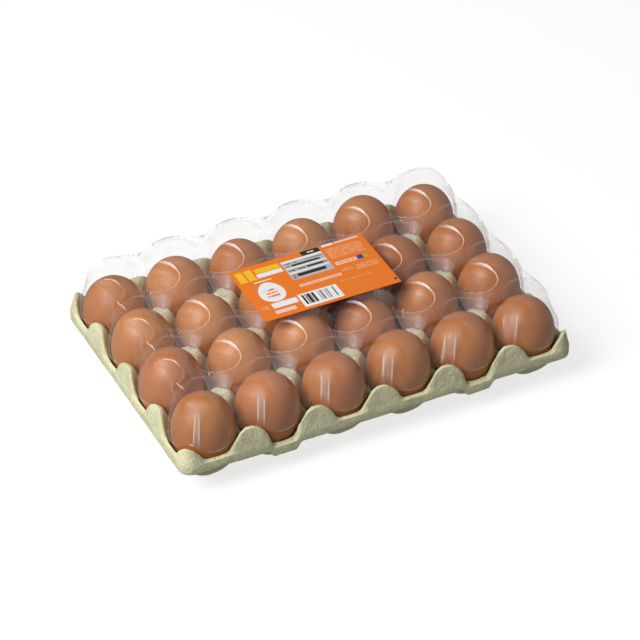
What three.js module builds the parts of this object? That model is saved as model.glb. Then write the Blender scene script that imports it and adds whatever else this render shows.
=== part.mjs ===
// A closed pack of twenty-four eggs: a moulded pulp tray, a clear thermoformed lid with one
// dome for each egg, and a printed label lying on the domes.
// Millimetres. X runs along the long side, Y along the short side, Z up; the tray's feet
// stand on z = 0 and the middle of the pack is at x = y = 0.
import * as THREE from "three";
import { mergeVertices } from "three/addons/utils/BufferGeometryUtils.js";

// ---- Driving dimensions ----
const COLUMNS = 6;
const ROWS = 4;
const PITCH = 48; // from one egg to the next, both ways
const HALF = PITCH / 2;

const PULP = 2; // thickness of the moulded cups
const RIM_PULP = 1.1; // thickness of the rim and its skirt
const CUP_FLOOR = { radius: 6.8, z: PULP };
const CUP_WALL = { radius: 19.3, z: 14.5 }; // where the cup's wall steepens
const SADDLE = 28; // lowest line between two cups
const PILLAR_TOP = 38; // where four cups meet inside the tray
const PEAK_TOP = 42; // the humps along the tray's front and left-hand edges
const LOW_PEAK_TOP = 36.5; // the lower humps along its back and right-hand edges
const CORNER_TOP = 38.5; // the lower humps at the tray's corners
const LEDGE = { out: 25, z: 27 }; // the rim outside the humps, measured out from a cup's middle
const SKIRT = { out: 25.3, z: 20 }; // lower edge of the rim's skirt
const CORNER_OUT = 22.9; // the rim's rounded corner, both ways from the corner cup's middle
const DIP = 5.5; // the rim runs lower at the second cup from each end of the long sides
const DIP_COLUMNS = [1, COLUMNS - 2];

const FILM = 0.5; // wall of the lid
const DOME_TOP = { radius: 12.5, z: 67 };
const DOME_SHOULDER = { radius: 16.5, z: 64.4 };
const LONG_SIDE_BULGE = 3.5; // the shoulders stand out further towards the long sides
const RIGHT_SIDE_BULGE = -2.2; // and lean in towards the right-hand short side
const WEB_Z = 64.5; // flat web that joins two neighbouring domes
const WELL_Z = PILLAR_TOP + 1; // the wells between four domes stand on the pillars
const WELL_HALF = 5.8;

const LABEL = { x: -1.8, y: 2.5, length: 101, width: 60, thickness: 0.4, lift: 0.3 };

const EGG_FOOT = 3.6; // lowest point of an egg, just above the cup's floor
const EGG_RADIUS = 21.6;
const EGG_TAPER = 0.07; // how much fuller the upper half is
const EGG_SIDES = 12;
const EGG_RINGS = 5;
// Height of each egg's top, front row first, left to right.
const EGG_TOPS = [
  [60.4, 60.9, 60.4, 61.4, 60.2, 58.4],
  [63.4, 62.0, 60.6, 57.6, 61.7, 61.6],
  [61.4, 58.2, 59.8, 60.4, 60.7, 59.4],
  [56.4, 57.4, 56.8, 58.7, 63.6, 57.8],
];
// How far each egg sits to the right of its cup's middle.
const EGG_SHIFTS = [
  [0.6, -1.0, -0.9, -0.2, 0.3, -0.8],
  [-0.4, 1.1, 0.4, -0.5, -1.1, -1.0],
  [0.4, -1.0, -0.3, 0.5, -1.0, -0.2],
  [0.3, -1.1, -1.1, -0.8, -1.0, -0.5],
];
// Each egg's radius as a share of the usual one.
const EGG_GIRTHS = [
  [1.0, 1.01, 0.97, 1.0, 1.01, 0.99],
  [1.0, 0.99, 1.0, 0.97, 0.99, 1.0],
  [0.99, 0.98, 1.01, 0.99, 1.0, 0.98],
  [0.99, 1.0, 0.98, 0.99, 1.0, 0.97],
];

const pulpMaterial = new THREE.MeshStandardMaterial({ color: 0xb9ba9a, roughness: 0.95, metalness: 0 });
const filmMaterial = new THREE.MeshStandardMaterial({
  color: 0xf4f6f7,
  roughness: 0.05,
  metalness: 0,
  transparent: true,
  opacity: 0.35,
});
const labelMaterial = new THREE.MeshStandardMaterial({ color: 0xf07818, roughness: 0.5, metalness: 0 });
const eggMaterial = (row, column) => {
  const tone = 0.5 + 0.5 * Math.sin(row * 2.3 + column * 1.7);
  const color = new THREE.Color(0xb5703f).lerp(new THREE.Color(0xd9a070), tone);
  return new THREE.MeshStandardMaterial({ color, roughness: 0.55, metalness: 0 });
};

const root = new THREE.Group();

// ---- Sheets: an open surface of triangles, facing up or out, then given a thickness ----
class Sheet {
  constructor(wall) {
    this.wall = wall;
    this.points = [];
    this.walls = [];
    this.faces = [];
    this.known = new Map();
  }

  point(x, y, z, wall = this.wall) {
    const key = [x, y, z].map((v) => Math.round(v * 1000)).join();
    if (!this.known.has(key)) {
      this.known.set(key, this.points.length);
      this.points.push(new THREE.Vector3(x, y, z));
      this.walls.push(wall);
    }
    return this.known.get(key);
  }

  face(a, b, c) {
    if (a !== b && b !== c && a !== c) this.faces.push([a, b, c]);
  }

  // Triangles between two lines of {at, id}, both running the same way, with `inner` on the left.
  strip(inner, outer) {
    let i = 0;
    let j = 0;
    while (i < inner.length - 1 || j < outer.length - 1) {
      const nextInner = i < inner.length - 1 ? inner[i + 1].at : Infinity;
      const nextOuter = j < outer.length - 1 ? outer[j + 1].at : Infinity;
      if (nextInner <= nextOuter) {
        this.face(inner[i].id, outer[j].id, inner[i + 1].id);
        i += 1;
      } else {
        this.face(inner[i].id, outer[j].id, outer[j + 1].id);
        j += 1;
      }
    }
  }

  // A closed solid: this sheet, a copy pushed in by the wall's thickness, and a band round the
  // open edge. At a fold the copy moves further, up to `reach` times, to keep the wall even.
  thicken(reach) {
    const faceNormal = ([a, b, c]) => {
      const ab = this.points[b].clone().sub(this.points[a]);
      const ac = this.points[c].clone().sub(this.points[a]);
      return ab.cross(ac);
    };
    const normals = this.points.map(() => new THREE.Vector3());
    for (const f of this.faces) {
      const n = faceNormal(f).normalize();
      f.forEach((id, k) => {
        const one = this.points[f[(k + 1) % 3]].clone().sub(this.points[id]).normalize();
        const two = this.points[f[(k + 2) % 3]].clone().sub(this.points[id]).normalize();
        normals[id].addScaledVector(n, Math.acos(THREE.MathUtils.clamp(one.dot(two), -1, 1)));
      });
    }
    normals.forEach((n) => n.normalize());
    const lean = this.points.map(() => 1);
    for (const f of this.faces) {
      const n = faceNormal(f).normalize();
      for (const id of f) lean[id] = Math.min(lean[id], n.dot(normals[id]));
    }
    const inside = this.points.map((p, k) =>
      p.clone().addScaledVector(normals[k], -this.walls[k] * Math.min(reach, 1 / Math.max(lean[k], 0.01))),
    );
    const count = this.points.length;
    const index = [];
    const edges = new Map();
    for (const [a, b, c] of this.faces) {
      index.push(a, b, c, a + count, c + count, b + count);
      for (const [from, to] of [[a, b], [b, c], [c, a]]) edges.set(`${from},${to}`, [from, to]);
    }
    for (const [from, to] of edges.values()) {
      if (edges.has(`${to},${from}`)) continue;
      index.push(to, from, from + count, to, from + count, to + count);
    }
    const geometry = new THREE.BufferGeometry().setFromPoints([...this.points, ...inside]);
    geometry.setIndex(index);
    return mergeVertices(geometry, 1e-4);
  }
}

// ---- The grid of cells that the tray and the lid share ----
const columnX = (column) => (column - (COLUMNS - 1) / 2) * PITCH;
const rowY = (row) => (row - (ROWS - 1) / 2) * PITCH;
const CELLS = [];
for (let row = 0; row < ROWS; row += 1) {
  for (let column = 0; column < COLUMNS; column += 1) CELLS.push({ row, column });
}

// The four sides of a cell, anticlockwise: `out` points away from the cell, `along` follows the side.
const SIDES = [
  { out: [1, 0], along: [0, 1] },
  { out: [0, 1], along: [-1, 0] },
  { out: [-1, 0], along: [0, -1] },
  { out: [0, -1], along: [1, 0] },
];
const isOuterSide = ({ row, column }, side) =>
  (side.out[0] > 0 && column === COLUMNS - 1) ||
  (side.out[0] < 0 && column === 0) ||
  (side.out[1] > 0 && row === ROWS - 1) ||
  (side.out[1] < 0 && row === 0);

// A point given by its distance out from the cell's middle and its place along one side.
function onSide(cell, side, out, along, z) {
  return [
    columnX(cell.column) + side.out[0] * out + side.along[0] * along,
    rowY(cell.row) + side.out[1] * out + side.along[1] * along,
    z,
  ];
}

// A ring round the cell's middle from one corner's direction to the next, as {at, id}; `bulge`
// moves its middle outwards.
function ringSide(sheet, cell, sideNumber, { radius, z }, steps, bulge = 0) {
  const line = [];
  for (let k = 0; k <= steps; k += 1) {
    const at = -Math.PI / 4 + (k / steps) * (Math.PI / 2);
    const angle = at + (sideNumber * Math.PI) / 2;
    const reach = radius + bulge * Math.cos(2 * at);
    const x = columnX(cell.column) + reach * Math.cos(angle);
    const y = rowY(cell.row) + reach * Math.sin(angle);
    line.push({ at, id: sheet.point(x, y, z) });
  }
  return line;
}

// ---- Tray ----
// Ridges between two cups, from the pillar or hump at a corner to the lowest line: `along` is
// the place on the cell's side, `out` the distance from its middle.
const INNER_RIDGE = [
  { along: HALF, z: PILLAR_TOP },
  { along: 18.5, z: PILLAR_TOP - 0.5 },
  { along: 14.5, z: 34 },
  { along: 10, z: SADDLE },
];
const OUTER_RIDGE = [
  { along: HALF, out: 21.3, z: PEAK_TOP },
  { along: 18.7, out: 21.6, z: PEAK_TOP - 0.9 },
  { along: 13.8, out: 22.3, z: 36 },
  { along: 9, out: 22.7, z: SADDLE },
];
const DIPPED_RIDGE = [
  ...OUTER_RIDGE.slice(0, 3),
  { along: 10.6, out: 22.7, z: SADDLE },
  { along: 8.2, out: 22.7, z: SADDLE - DIP },
];
// The same humps where they turn the tray's corner, and the ridges that end on a hump.
const CORNER_HUMP = [
  { along: 19.6, out: 19.6, z: CORNER_TOP },
  { along: 17, out: 21.2, z: CORNER_TOP - 0.4 },
];
const ENDS_ON_HUMP = [
  { along: 21.3, z: PEAK_TOP },
  { along: 18, z: 39.5 },
];

// A hump's height z on one side of the tray.
function humpZ(side, z) {
  if (side.out[0] + side.out[1] < 0 || z < SADDLE) return z;
  return SADDLE + ((z - SADDLE) * (LOW_PEAK_TOP - SADDLE)) / (PEAK_TOP - SADDLE);
}

function isDipped(cell, side) {
  return side.out[1] !== 0 && isOuterSide(cell, side) && DIP_COLUMNS.includes(cell.column);
}

// One side of a cell's edge in the tray, corner to corner.
function traySide(sheet, cell, sideNumber) {
  const side = SIDES[sideNumber];
  const outer = isOuterSide(cell, side);
  const half = (end) => {
    const endSide = SIDES[(sideNumber + end + 4) % 4];
    const endIsOuter = isOuterSide(cell, endSide);
    let ridge = INNER_RIDGE;
    if (outer) ridge = isDipped(cell, side) ? DIPPED_RIDGE : OUTER_RIDGE;
    const special = outer ? CORNER_HUMP : ENDS_ON_HUMP;
    return ridge.map((place, k) => {
      const atEnd = endIsOuter && k < 2;
      const { along, out = HALF, z } = atEnd ? special[k] : place;
      const isHump = outer !== atEnd;
      const height = isHump ? humpZ(outer ? side : endSide, z) : z;
      const wall = outer ? RIM_PULP : PULP;
      return { at: end * along, id: sheet.point(...onSide(cell, side, out, end * along, height), wall) };
    });
  };
  return [...half(-1), ...half(1).reverse()];
}

// The inner corner of a pillar's flat top, where it looks towards the cell's middle.
function pillarCorner(sheet, cell, sideNumber) {
  const side = SIDES[sideNumber];
  const next = SIDES[(sideNumber + 1) % 4];
  const one = isOuterSide(cell, side);
  const two = isOuterSide(cell, next);
  const place = (outer) => (outer ? 18.6 : one || two ? 19.6 : 18.3);
  if (one && two) return sheet.point(...onSide(cell, side, 17.7, 17.7, CORNER_TOP - 0.4));
  const z = one || two ? humpZ(one ? side : next, PEAK_TOP - 0.5) : PILLAR_TOP - 0.4;
  return sheet.point(...onSide(cell, side, place(one), place(two), z));
}

// The rim outside a cell, at the ledge or at the skirt's lower edge.
function rimLine(sheet, cell, sideNumber, { out, z }) {
  const side = SIDES[sideNumber];
  const dipped = isDipped(cell, side);
  const half = (end) => {
    const corner = isOuterSide(cell, SIDES[(sideNumber + end + 4) % 4]);
    const inset = out - LEDGE.out;
    const places = corner
      ? [{ along: CORNER_OUT + inset, out: CORNER_OUT + inset, z }, { along: 18, out, z }]
      : [{ along: HALF, out, z }];
    places.push({ along: dipped ? 12.5 : 11, out, z });
    if (dipped) places.push({ along: 8, out, z: z - DIP });
    return places.map((p) => ({
      at: end * p.along,
      id: sheet.point(...onSide(cell, side, p.out, end * p.along, p.z), RIM_PULP),
    }));
  };
  return [...half(-1), ...half(1).reverse()];
}

function trayGeometry() {
  const sheet = new Sheet(PULP);
  for (const cell of CELLS) {
    const middle = sheet.point(columnX(cell.column), rowY(cell.row), CUP_FLOOR.z);
    SIDES.forEach((side, n) => {
      const floor = ringSide(sheet, cell, n, CUP_FLOOR, 3);
      const wall = ringSide(sheet, cell, n, CUP_WALL, 4);
      const edge = traySide(sheet, cell, n);
      const before = pillarCorner(sheet, cell, (n + 3) % 4);
      const after = pillarCorner(sheet, cell, n);
      for (let k = 0; k < 3; k += 1) sheet.face(middle, floor[k].id, floor[k + 1].id);
      sheet.strip(floor, wall);
      const round = wall.map(({ at, id }) => ({ at: HALF * Math.tan(at), id }));
      const inside = [{ at: -HALF, id: before }, ...edge.slice(1, -1), { at: HALF, id: after }];
      sheet.strip(round, inside);
      sheet.face(before, edge[0].id, edge[1].id);
      sheet.face(after, edge.at(-2).id, edge.at(-1).id);
      if (!isOuterSide(cell, side)) return;
      const ledge = rimLine(sheet, cell, n, LEDGE);
      sheet.strip(edge, ledge);
      sheet.strip(ledge, rimLine(sheet, cell, n, SKIRT));
    });
  }
  return sheet.thicken(1.8);
}

// ---- Lid ----
// The web between two domes, by distance from the well's middle at its end.
const WEB = [
  { away: 0, z: WELL_Z },
  { away: 6, z: WELL_Z + 2.5 },
  { away: 14, z: WEB_Z - 3 },
  { away: HALF, z: WEB_Z },
];
// The groove that takes the well's place where the web meets the outer wall.
const GROOVE = [
  { out: 14.6, z: 41.6 },
  { out: 12.4, z: 60.5 },
  { out: 9.5, z: WEB_Z - 0.9 },
  { out: 0, z: WEB_Z },
];
// The outer wall's scallop round each dome, at its knee and at its hem behind the pulp edge.
const WALL_STEPS = [HALF, 18, 10, 0];
const KNEE = [
  { out: 14.6, z: 41.6 },
  { out: 15.7, z: 41.6 },
  { out: 21.0, z: 41 },
  { out: 22.8, z: 41 },
];
const HEM = [
  { out: 14.9, z: 40.2 },
  { out: 16.0, z: 38 },
  { out: 21.2, z: 33.5 },
  { out: 23.1, z: 32 },
];

// A well's or a groove's end of one side of a cell, from the corner to the middle of the side.
function lidHalfSide(sheet, cell, sideNumber, end) {
  const side = SIDES[sideNumber];
  const outer = isOuterSide(cell, side);
  const endIsOuter = isOuterSide(cell, SIDES[(sideNumber + end + 4) % 4]);
  return WALL_STEPS.map((step, k) => {
    let out = HALF;
    let along = end * step;
    let z = WEB[k].z;
    if (outer) {
      ({ out, z } = KNEE[k]);
      if (endIsOuter && k === 0) {
        out = 16.8;
        along = end * 16.8;
      }
      if (endIsOuter && k === 1) {
        out = 18.4;
        along = end * 14.8;
      }
    } else if (endIsOuter) {
      ({ out: along, z } = GROOVE[k]);
      along *= end;
    }
    return { at: Math.atan2(end * step, HALF), id: sheet.point(...onSide(cell, side, out, along, z)) };
  });
}

function hemSide(sheet, cell, sideNumber) {
  const side = SIDES[sideNumber];
  const half = (end) => {
    const endIsOuter = isOuterSide(cell, SIDES[(sideNumber + end + 4) % 4]);
    return WALL_STEPS.map((step, k) => {
      let { out } = HEM[k];
      let along = end * step;
      const { z } = HEM[k];
      if (endIsOuter && k === 0) {
        out = 16.9;
        along = end * 16.9;
      }
      if (endIsOuter && k === 1) {
        out = 18.6;
        along = end * 15.0;
      }
      return { at: Math.atan2(end * step, HALF), id: sheet.point(...onSide(cell, side, out, along, z)) };
    });
  };
  return [...half(-1), ...half(1).reverse().slice(1)];
}

function shoulderBulge(cell, side) {
  if (!isOuterSide(cell, side)) return 0;
  if (side.out[0] !== 0) return side.out[0] > 0 ? RIGHT_SIDE_BULGE : 0;
  return cell.column > 0 && cell.column < COLUMNS - 1 ? LONG_SIDE_BULGE : 0;
}

function lidGeometry() {
  const sheet = new Sheet(FILM);
  for (const cell of CELLS) {
    const middle = sheet.point(columnX(cell.column), rowY(cell.row), DOME_TOP.z);
    SIDES.forEach((side, n) => {
      const top = ringSide(sheet, cell, n, DOME_TOP, 4);
      const shoulder = ringSide(sheet, cell, n, DOME_SHOULDER, 4, shoulderBulge(cell, side));
      const edge = [...lidHalfSide(sheet, cell, n, -1), ...lidHalfSide(sheet, cell, n, 1).reverse().slice(1)];
      const next = SIDES[(n + 1) % 4];
      const previous = SIDES[(n + 3) % 4];
      const wellCorner = (one, two, along) => {
        if (isOuterSide(cell, one) || isOuterSide(cell, two)) return null;
        const place = HALF - WELL_HALF;
        return sheet.point(...onSide(cell, side, place, along * place, WELL_Z + 0.6));
      };
      const before = wellCorner(previous, side, -1);
      const after = wellCorner(side, next, 1);
      for (let k = 0; k < 4; k += 1) sheet.face(middle, top[k].id, top[k + 1].id);
      sheet.strip(top, shoulder);
      const inside = edge.slice();
      if (before !== null) {
        inside[0] = { at: edge[0].at, id: before };
        sheet.face(before, edge[0].id, edge[1].id);
      }
      if (after !== null) {
        inside[inside.length - 1] = { at: edge.at(-1).at, id: after };
        sheet.face(after, edge.at(-2).id, edge.at(-1).id);
      }
      sheet.strip(shoulder, inside);
      if (isOuterSide(cell, side)) sheet.strip(edge, hemSide(sheet, cell, n));
    });
  }
  return sheet.thicken(1.6);
}

// ---- Eggs ----
function eggGeometry(row, column) {
  const top = EGG_TOPS[row][column];
  const half = (top - EGG_FOOT) / 2;
  const radius = EGG_RADIUS * EGG_GIRTHS[row][column];
  const profile = [new THREE.Vector2(0, -half)];
  for (let k = 1; k <= EGG_RINGS; k += 1) {
    const turn = (k / (EGG_RINGS + 1)) * Math.PI;
    const height = -Math.cos(turn);
    profile.push(new THREE.Vector2(radius * Math.sin(turn) * (1 + EGG_TAPER * height), half * height));
  }
  profile.push(new THREE.Vector2(0, half));
  const geometry = new THREE.LatheGeometry(profile, EGG_SIDES);
  geometry.rotateX(Math.PI / 2);
  geometry.deleteAttribute("normal");
  geometry.deleteAttribute("uv");
  return mergeVertices(geometry, 1e-3);
}

// ---- The pack ----
const addMesh = (name, geometry, material, x = 0, y = 0, z = 0) => {
  const mesh = new THREE.Mesh(geometry, material);
  mesh.name = name;
  mesh.position.set(x, y, z);
  root.add(mesh);
};

addMesh("tray", trayGeometry(), pulpMaterial);
addMesh("lid", lidGeometry(), filmMaterial);
addMesh(
  "label",
  new THREE.BoxGeometry(LABEL.length, LABEL.width, LABEL.thickness),
  labelMaterial,
  LABEL.x,
  LABEL.y,
  DOME_TOP.z + LABEL.lift + LABEL.thickness / 2,
);
for (const { row, column } of CELLS) {
  const middle = (EGG_TOPS[row][column] + EGG_FOOT) / 2;
  const x = columnX(column) + EGG_SHIFTS[row][column];
  addMesh(`egg_${row + 1}_${column + 1}`, eggGeometry(row, column), eggMaterial(row, column), x, rowY(row), middle);
}

export default root;
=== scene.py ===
"""A closed pack of brown eggs: moulded-pulp tray, clear domed lid, printed label."""

import math

import bmesh
import bpy
from mathutils import Matrix, Vector, noise


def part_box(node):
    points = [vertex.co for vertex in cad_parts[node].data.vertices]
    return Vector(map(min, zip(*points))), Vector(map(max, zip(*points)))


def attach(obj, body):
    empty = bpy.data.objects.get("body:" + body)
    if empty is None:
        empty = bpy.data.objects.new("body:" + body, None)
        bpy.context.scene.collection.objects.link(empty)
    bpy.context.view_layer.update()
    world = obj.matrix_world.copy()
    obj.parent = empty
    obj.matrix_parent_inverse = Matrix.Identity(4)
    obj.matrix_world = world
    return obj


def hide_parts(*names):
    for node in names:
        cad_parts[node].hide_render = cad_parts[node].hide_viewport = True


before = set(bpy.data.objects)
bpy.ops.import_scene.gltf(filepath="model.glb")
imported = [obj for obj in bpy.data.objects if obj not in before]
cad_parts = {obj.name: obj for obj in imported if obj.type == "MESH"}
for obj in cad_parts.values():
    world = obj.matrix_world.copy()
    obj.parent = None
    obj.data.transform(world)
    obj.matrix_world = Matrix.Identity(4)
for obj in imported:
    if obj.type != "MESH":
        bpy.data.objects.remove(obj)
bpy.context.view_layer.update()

# ---- Measures in millimetres, for the shapes that repeat from cup to cup ----
MM = 0.001
COLUMNS, ROWS = 6, 4
PITCH = 48.0
HALF = PITCH / 2

PULP = 2.0
RIM_SHARE = 0.55  # the rim is this share of the cups' thickness
# Profiles are pairs of a distance out from an axis and the height there.
CUP_PROFILE = ((0, 2), (6.8, 2), (19.3, 14.5), (24, 28), (28, 40), (34, 58))
CUP_SOFTENING = 2.2
TRAY_BLEND = 1.6  # rounding where cups meet ridges, pillars and humps
SADDLE = 28.0  # the ridge between two cups
PILLAR_TOP = 38.0
PILLAR_REACH = 13.5  # half the width of a pillar's foot
PILLAR_FLANK = 7.5  # width of its sloping flank
PEAK_TOP = 42.0  # humps along the front and left-hand edges
LOW_PEAK_TOP = 36.5  # humps along the back and right-hand edges
CORNER_TOP = 38.5
HUMP_REACH = 15.0  # half the width of a hump
HUMP_BLUNTNESS = 2.5
HUMP_NARROWING = 1.25  # humps reach this much less far in from the edge than along it
NOTCH_OUT = 22.7  # crest of the tray's edge beside a cup, from the cup's middle
PEAK_OUT = 21.3  # the same at a hump
CORNER_PEAK = 20.0  # the same at a corner
DIP = 5.5  # how much lower the edge and the skirt hang at the columns below
DIP_COLUMNS = (1, COLUMNS - 2)
# Where a dip starts and how wide its flank is, across its column and in from the edge.
CREST_DIP, CREST_DIP_FLANK = 11.4, 4.4
CREST_DIP_IN, CREST_DIP_IN_FLANK = 12.0, 8.0
SKIRT_DIP, SKIRT_DIP_FLANK = 12.4, 4.6
RIM_CORNER = 9.0  # radius of the rim's corners
RIM_OUT = 1.0  # how far the rim stands out round the grid of cups
RIM_HALF = (COLUMNS * HALF + RIM_OUT, ROWS * HALF + RIM_OUT)
LEDGE_Z = 27.0  # foot of the humps' outer faces, where the skirt starts
SKIRT_Z = 20.0

FILM = 0.4
CROWN = ((0, 67), (12.5, 67), (16.6, 64.5), (60, 64.5))  # dome and web, out from the dome's axis
CROWN_SOFTENING = 0.9
WELL = (
    (0, 39), (5.4, 39), (6.6, 41.5), (8.8, 47), (12.6, 57),
    (14.6, 61.5), (16.2, 64.5), (17.6, 68), (20, 75), (60, 110),
)  # fmt: skip
WELL_SOFTENING = 0.7
WELL_RIM = 16.4
WELL_LEAN = 6.0  # a well's rim lies this much further back than its foot
LID_BLEND = 1.0  # rounding where domes meet wells and outer walls
# The outer wall's height, from its shoulder at 0 to its knee at 1.
FLANK = ((-9, 150), (0, 64.2), (0.16, 58), (0.55, 49), (1, 41), (1.5, 32), (9, 0))
SHOULDER = {"long": 20.1, "left": 16.6, "right": 14.3, "corner": 17.2}  # out from a dome's middle
WEB_SHOULDER = 11.3  # the same between two domes
GROOVE_OUT = 14.6  # the outer wall's knee between two domes
GROOVE_BLEND = 2.5  # rounding where a scallop meets a groove
KNEE = 22.8  # the same knee beside a dome
HEM_Z = 32.0  # the lid's lower edge beside a dome
HEM_RISE = 8.2  # how much higher it is between two domes

EGG_TAPER = 0.07  # an egg is this share fuller towards its top, and slimmer towards its foot
EGG_SEGMENTS, EGG_RINGS = 64, 40


def smoothstep(x):
    x = min(max(x, 0.0), 1.0)
    return x * x * (3 - 2 * x)


def mix(a, b, share):
    return a + (b - a) * share


def soft_max(a, b, blend):
    share = smoothstep(0.5 + (a - b) / (2 * blend))
    return mix(b, a, share) + blend * share * (1 - share) * 0.5


def soft_min(a, b, blend):
    return -soft_max(-a, -b, blend)


def on_profile(profile, x):
    for (x0, z0), (x1, z1) in zip(profile, profile[1:]):
        if x <= x1:
            return mix(z0, z1, (x - x0) / (x1 - x0))
    return profile[-1][1]


def softened(profile, x, reach):
    """The profile's height with its corners rounded over `reach`."""
    steps = (-1, -0.6, -0.2, 0.2, 0.6, 1)
    return sum(on_profile(profile, abs(x + reach * s)) for s in steps) / len(steps)


# ---- One grid over all cups, whose squares turn round inside each cup ----
class Cup:
    """The cup under a grid point: its middle, and which of its sides are the pack's edge."""

    def __init__(self, x, y):
        self.column = min(max(int((x + COLUMNS * HALF) // PITCH), 0), COLUMNS - 1)
        self.row = min(max(int((y + ROWS * HALF) // PITCH), 0), ROWS - 1)
        self.x = (self.column - (COLUMNS - 1) / 2) * PITCH
        self.y = (self.row - (ROWS - 1) / 2) * PITCH
        self.edge_x = {0: -1, COLUMNS - 1: 1}.get(self.column, 0)
        self.edge_y = {0: -1, ROWS - 1: 1}.get(self.row, 0)

    def outer(self, x, y):
        """Whether the cup's side towards +-x and towards +-y is the pack's edge."""
        return x * self.edge_x > 1e-6, y * self.edge_y > 1e-6


def ring_place(u, v, round_radius, edge_place):
    """Where the grid point (u, v), both from -1 to 1, comes to lie in its cup.

    Squares of the grid become circles up to round_radius(ring), and from there on they go over
    to the cup's edge, which edge_place(major, minor, swapped) gives."""
    ring = max(abs(u), abs(v))
    if ring < 1e-9:
        return 0.0, 0.0
    swapped = abs(v) > abs(u)
    major, minor = (v, u) if swapped else (u, v)
    turn = math.pi / 4 * abs(minor) / ring
    circle = (math.copysign(math.cos(turn), major), math.copysign(math.sin(turn), minor))
    radius, share = round_radius(ring)
    edge = edge_place(math.copysign(1, major), minor / ring, swapped)
    place = [mix(c * radius, e, share) for c, e in zip(circle, edge)]
    return (place[1], place[0]) if swapped else (place[0], place[1])


def cup_grid(steps, place):
    """A bmesh grid of `steps` squares to each cup, with its points moved by place(x, y, cup)."""
    bm = bmesh.new()
    bmesh.ops.create_grid(bm, x_segments=COLUMNS * steps, y_segments=ROWS * steps, size=1)
    bmesh.ops.scale(bm, vec=(COLUMNS * HALF, ROWS * HALF, 1), verts=bm.verts)
    lattice = bm.verts.layers.float_vector.new("lattice")
    for vert in bm.verts:
        vert[lattice] = vert.co
        x, y = vert.co.x, vert.co.y
        cup = Cup(x, y)
        vert.co = place(x - cup.x, y - cup.y, cup)
    return bm, lattice


def extrude_edge(bm, moved):
    """Extrudes the open edge outwards, and moves each new point by moved(vert)."""
    edge = [e for e in bm.edges if e.is_boundary]
    new = bmesh.ops.extrude_edge_only(bm, edges=edge)["geom"]
    for vert in (g for g in new if isinstance(g, bmesh.types.BMVert)):
        vert.co = moved(vert)


def finish_mesh(bm, name, materials, smooth=True):
    """Makes the object from a bmesh in millimetres."""
    bmesh.ops.scale(bm, vec=(MM, MM, MM), verts=bm.verts)
    bmesh.ops.recalc_face_normals(bm, faces=bm.faces)
    mesh = bpy.data.meshes.new(name)
    for face in bm.faces:
        face.smooth = smooth
    bm.to_mesh(mesh)
    bm.free()
    for material in materials:
        mesh.materials.append(material)
    piece = bpy.data.objects.new(name, mesh)
    bpy.context.scene.collection.objects.link(piece)
    return piece


def facing_up(bm):
    """Turns an open sheet so that its faces look up and outwards."""
    bmesh.ops.recalc_face_normals(bm, faces=bm.faces)
    if sum(f.normal.z * f.calc_area() for f in bm.faces) < 0:
        bmesh.ops.reverse_faces(bm, faces=bm.faces)


# ---- Materials ----
class Nodes:
    """Short ways to add and link nodes in a material or a group."""

    def __init__(self, tree):
        self.tree = tree

    def add(self, kind, inputs=(), **settings):
        node = self.tree.nodes.new(kind)
        for key, value in settings.items():
            setattr(node, key, value)
        for socket, value in dict(inputs).items():
            self.set(node.inputs[socket], value)
        return node

    def set(self, socket, value):
        if isinstance(value, bpy.types.NodeSocket):
            self.tree.links.new(value, socket)
        else:
            socket.default_value = value

    def math(self, operation, *values):
        node = self.add("ShaderNodeMath", operation=operation)
        for socket, value in zip(node.inputs, values):
            self.set(socket, value)
        return node.outputs[0]

    def ramp(self, value, low, high, to_low=0.0, to_high=1.0):
        node = self.add("ShaderNodeMapRange", interpolation_type="SMOOTHSTEP")
        for socket, v in zip(node.inputs, (value, low, high, to_low, to_high)):
            self.set(socket, v)
        return node.outputs[0]

    def near(self, value, middle, none, full):
        """1 where the value is within `full` of the middle, and 0 from `none` away from it."""
        away = self.math("ABSOLUTE", self.math("SUBTRACT", value, middle))
        return self.ramp(away, none, full)

    def product(self, *factors):
        result = factors[0]
        for factor in factors[1:]:
            result = self.math("MULTIPLY", result, factor)
        return result

    def length(self, x, y):
        return self.math("SQRT", self.math("MULTIPLY_ADD", x, x, self.product(y, y)))

    def choose(self, share, chosen, other):
        """`chosen` where the share is 1, and `other` where it is 0."""
        return self.math("MULTIPLY_ADD", share, self.math("SUBTRACT", chosen, other), other)

    def blend(self, share, a, b):
        node = self.add("ShaderNodeMix", data_type="RGBA")
        self.set(node.inputs[0], share)
        self.set(node.inputs[6], a)
        self.set(node.inputs[7], b)
        return node.outputs[2]

    def noise(self, place, scale, detail, roughness):
        inputs = {"Vector": place, "Scale": scale, "Detail": detail, "Roughness": roughness}
        return self.add("ShaderNodeTexNoise", inputs).outputs[0]


def new_group(name, inputs, outputs):
    """A shader node group, with its sockets made from {name: default or kind}."""
    tree = bpy.data.node_groups.new(name, "ShaderNodeTree")
    for label, value in inputs.items():
        kind = "NodeSocketColor" if isinstance(value, tuple) else "NodeSocketFloat"
        socket = tree.interface.new_socket(name=label, in_out="INPUT", socket_type=kind)
        socket.default_value = value
    for label, kind in outputs.items():
        tree.interface.new_socket(name=label, in_out="OUTPUT", socket_type=kind)
    given = tree.nodes.new("NodeGroupInput").outputs
    out = tree.nodes.new("NodeGroupOutput").inputs
    return tree, Nodes(tree), given, out


def use_group(nodes, tree, **values):
    node = nodes.add("ShaderNodeGroup", node_tree=tree)
    for label, value in values.items():
        nodes.set(node.inputs[label.replace("_", " ")], value)
    return node.outputs


def new_material(name, **constants):
    """A material whose Principled shader has its constant values set on its own sockets."""
    material = bpy.data.materials.new(name)
    material.use_nodes = True
    shader = material.node_tree.nodes["Principled BSDF"]
    for label, value in constants.items():
        shader.inputs[label.replace("_", " ")].default_value = value
    return material, Nodes(material.node_tree), shader


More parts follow.
